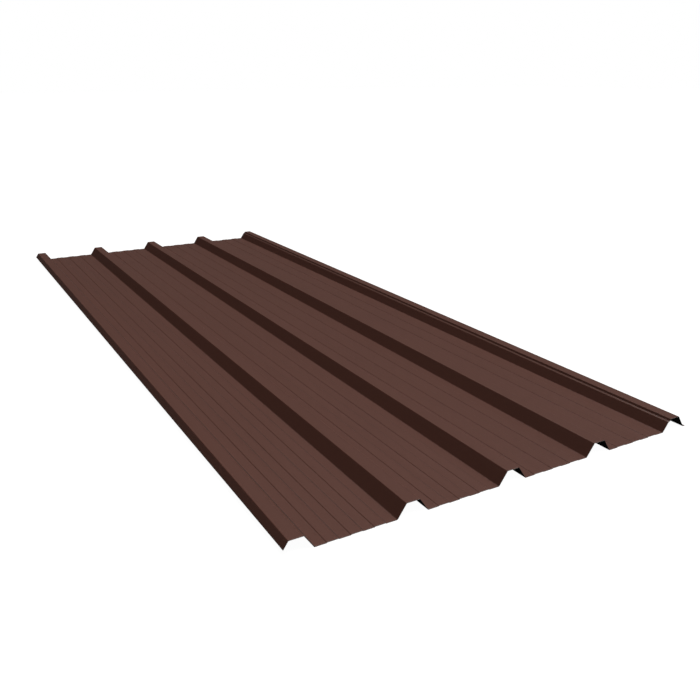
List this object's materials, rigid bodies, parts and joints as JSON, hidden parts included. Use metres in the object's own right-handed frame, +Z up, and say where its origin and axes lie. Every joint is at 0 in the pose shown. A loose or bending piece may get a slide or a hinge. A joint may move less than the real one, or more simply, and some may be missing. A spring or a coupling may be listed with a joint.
{
  "type": "corrugated metal sheet",
  "caption": "Trapezoidal cladding sheet of brown prepainted steel, with stiffened pans, a short-legged overlap rib and a grooved underlap rib with a foot.",
  "frame": {"origin": "middle of the footprint, on the plane that the pans rest on", "axes": "+X across the ribs from the overlap rib to the underlap rib, +Y along the ribs, +Z up out of the painted face"},
  "size_m": [1.0694, 2.6, 0.0306],
  "materials": {
    "brown_coated_steel": "satin polyester coil coating, chocolate brown"
  },
  "bodies": {
    "root": {"profiled_sheet": "brown_coated_steel"}
  },
  "joints": []
}
